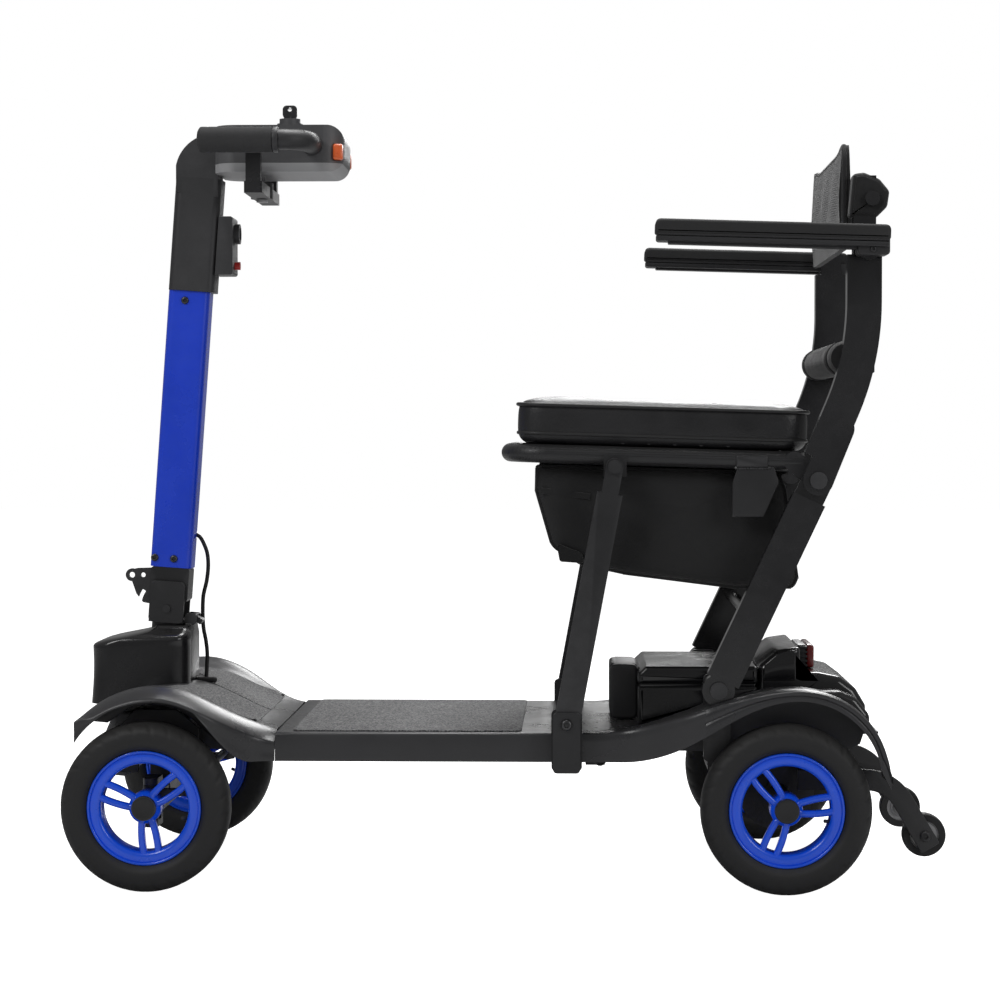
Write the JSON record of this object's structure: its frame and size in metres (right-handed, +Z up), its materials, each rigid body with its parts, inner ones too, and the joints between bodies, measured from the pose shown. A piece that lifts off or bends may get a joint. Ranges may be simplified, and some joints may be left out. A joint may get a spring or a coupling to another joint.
{
  "type": "mobility scooter",
  "caption": "Folding mobility scooter with a leaning blue tiller, a low deck, a padded seat on folding side bars, flip-up armrests and looped-spoke wheels.",
  "frame": {"origin": "middle of the footprint box on the ground", "axes": "+X to the rear along the length, +Y to the rider's right, +Z up"},
  "size_m": [1.047, 0.512, 0.945],
  "materials": {
    "frame_black": "satin",
    "body_grey": "satin",
    "mat_grey": "grained",
    "shroud_black": "satin",
    "blue": "gloss",
    "black_plastic": "satin",
    "grey_plastic": "matte",
    "grip_foam": "matte",
    "cast_metal": "cast",
    "steel": "satin",
    "tyre_black": "matte",
    "vinyl": "semi-gloss",
    "cloth": "woven",
    "orange": "gloss",
    "red": "gloss",
    "button_blue": "gloss",
    "pad": "matte",
    "cable": "satin"
  },
  "bodies": {
    "chassis": {"frame": "frame_black", "front_cover": "body_grey", "deck_mats": "mat_grey", "deck_mid": "body_grey", "deck_rear": "body_grey", "shroud": "shroud_black", "rear_cover": "shroud_black", "tail_lamp": "red", "seat_brackets": "frame_black", "deck_latch": "frame_black", "transaxle": "cast_metal", "antitip_arms": "frame_black", "head_tube": "frame_black"},
    "battery": {"battery_case": "black_plastic", "battery_handle": "black_plastic"},
    "steering": {"steer_yoke": "frame_black", "cable_lower": "cable"},
    "tiller": {"fold_plate": "frame_black", "tiller_tube": "blue", "tiller_base": "frame_black", "tiller_casing": "black_plastic", "console_upper": "black_plastic", "console_lower": "grey_plastic", "handlebar": "frame_black", "grips": "grip_foam", "charge_box": "black_plastic", "reflectors": "orange", "tiller_screws": "steel", "cable_upper": "cable"},
    "release": {"release_lever": "black_plastic"},
    "throttle": {"throttle_lever": "black_plastic"},
    "key": {"key": "black_plastic"},
    "power_button": {"power_button": "button_blue"},
    "breaker_button": {"breaker_button": "red"},
    "knuckle_left": {"knuckle_left": "cast_metal"},
    "knuckle_right": {"knuckle_right": "cast_metal"},
    "tie_rod": {"tie_rod": "steel"},
    "wheel_fl": {"tyre_fl": "tyre_black", "rim_fl": "blue"},
    "wheel_fr": {"tyre_fr": "tyre_black", "rim_fr": "blue"},
    "wheel_rl": {"tyre_rl": "tyre_black", "rim_rl": "blue", "shaft_rl": "frame_black"},
    "wheel_rr": {"tyre_rr": "tyre_black", "rim_rr": "blue", "shaft_rr": "frame_black"},
    "front_legs": {"front_legs": "frame_black"},
    "rear_links": {"rear_links": "frame_black"},
    "seat": {"seat_frame": "frame_black", "seat_pan": "black_plastic", "seat_cushion": "vinyl", "seat_bag": "cloth"},
    "backrest": {"uprights": "frame_black", "back_cover": "cloth", "lumbar_roll": "cloth"},
    "armrest_left": {"armrest_left": "pad"},
    "armrest_right": {"armrest_right": "pad"},
    "antitip_wheel_left": {"antitip_wheel_left": "black_plastic"},
    "antitip_wheel_right": {"antitip_wheel_right": "black_plastic"}
  },
  "joints": [
    {"name": "seat_fold", "type": "hinge", "parent": "chassis", "child": "rear_links", "pos_m": [0.2475, 0, 0.238], "axis": [0, 1, 0], "range_deg": [-85, 0], "deforming": ["seat_bag"]},
    {"name": "seat_tilt", "type": "hinge", "parent": "rear_links", "child": "seat", "pos_m": [0.3625, 0, 0.483], "axis": [0, 1, 0], "range_deg": [0, 65.51]},
    {"name": "leg_swing", "type": "hinge", "parent": "chassis", "child": "front_legs", "pos_m": [0.0705, 0, 0.198], "axis": [0, 1, 0], "range_deg": [-79.05, 0]},
    {"name": "backrest_fold", "type": "hinge", "parent": "seat", "child": "backrest", "pos_m": [0.3625, 0, 0.483], "axis": [0, 1, 0], "range_deg": [-50, 0]},
    {"name": "armrest_left_flip", "type": "hinge", "parent": "backrest", "child": "armrest_left", "pos_m": [0.42, -0.2, 0.752], "axis": [0, 1, 0], "range_deg": [0, 92]},
    {"name": "armrest_right_flip", "type": "hinge", "parent": "backrest", "child": "armrest_right", "pos_m": [0.42, 0.2, 0.752], "axis": [0, 1, 0], "range_deg": [0, 92]},
    {"name": "steer", "type": "hinge", "parent": "chassis", "child": "steering", "pos_m": [-0.4271, 0, 0.32], "axis": [0.0715, 0, 0.9974], "range_deg": [-25, 25], "deforming": ["cable_lower"]},
    {"name": "tiller_fold", "type": "hinge", "parent": "steering", "child": "tiller", "pos_m": [-0.4271, 0, 0.32], "axis": [0, 1, 0], "range_deg": [0, 32], "deforming": ["cable_upper"]},
    {"name": "release_press", "type": "hinge", "parent": "steering", "child": "release", "pos_m": [-0.39486, 0, 0.30817], "axis": [0, 1, 0], "range_deg": [0, 12], "stiffness_Nm_per_rad": 0.5},
    {"name": "throttle_turn", "type": "hinge", "parent": "tiller", "child": "throttle", "pos_m": [-0.31, 0, 0.84], "axis": [0, 0, 1], "range_deg": [-14, 14], "stiffness_Nm_per_rad": 0.6},
    {"name": "key_turn", "type": "hinge", "parent": "tiller", "child": "key", "pos_m": [-0.275, 0, 0.93], "axis": [0, 0, 1], "range_deg": [0, 60]},
    {"name": "power_press", "type": "slide", "parent": "tiller", "child": "power_button", "axis": [0, 0, -1], "range_m": [0, 0.0025], "stiffness_N_per_m": 400},
    {"name": "breaker_press", "type": "slide", "parent": "tiller", "child": "breaker_button", "axis": [-1, 0, 0], "range_m": [0, 0.002], "stiffness_N_per_m": 400},
    {"name": "knuckle_left_turn", "type": "hinge", "parent": "chassis", "child": "knuckle_left", "pos_m": [-0.423, -0.172, 0.1], "axis": [0, 0, 1], "range_deg": [-26, 26]},
    {"name": "knuckle_right_turn", "type": "hinge", "parent": "chassis", "child": "knuckle_right", "pos_m": [-0.423, 0.172, 0.1], "axis": [0, 0, 1], "range_deg": [-26, 26]},
    {"name": "tie_rod_shift", "type": "slide", "parent": "chassis", "child": "tie_rod", "axis": [0, 1, 0], "range_m": [-0.021, 0.021]},
    {"name": "wheel_fl_spin", "type": "hinge", "parent": "knuckle_left", "child": "wheel_fl", "pos_m": [-0.423, -0.205, 0.1], "axis": [0, 1, 0], "continuous": true},
    {"name": "wheel_fr_spin", "type": "hinge", "parent": "knuckle_right", "child": "wheel_fr", "pos_m": [-0.423, 0.205, 0.1], "axis": [0, 1, 0], "continuous": true},
    {"name": "wheel_rl_spin", "type": "hinge", "parent": "chassis", "child": "wheel_rl", "pos_m": [0.326, -0.205, 0.1], "axis": [0, 1, 0], "continuous": true},
    {"name": "wheel_rr_spin", "type": "hinge", "parent": "chassis", "child": "wheel_rr", "pos_m": [0.326, 0.205, 0.1], "axis": [0, 1, 0], "continuous": true},
    {"name": "antitip_left_spin", "type": "hinge", "parent": "chassis", "child": "antitip_wheel_left", "pos_m": [0.498, -0.114, 0.057], "axis": [0, 1, 0], "continuous": true},
    {"name": "antitip_right_spin", "type": "hinge", "parent": "chassis", "child": "antitip_wheel_right", "pos_m": [0.498, 0.114, 0.057], "axis": [0, 1, 0], "continuous": true},
    {"name": "battery_lift", "type": "slide", "parent": "chassis", "child": "battery", "axis": [0, 0, 1], "range_m": [0, 0.05]}
  ],
  "couplings": [
    {"joint": "seat_tilt", "follows": "seat_fold", "ratio": -0.77063},
    {"joint": "leg_swing", "follows": "seat_fold", "ratio": 0.92982},
    {"joint": "knuckle_left_turn", "follows": "steer", "ratio": 1},
    {"joint": "knuckle_right_turn", "follows": "steer", "ratio": 1},
    {"joint": "tie_rod_shift", "follows": "steer", "m_per_rad": 0.045}
  ]
}
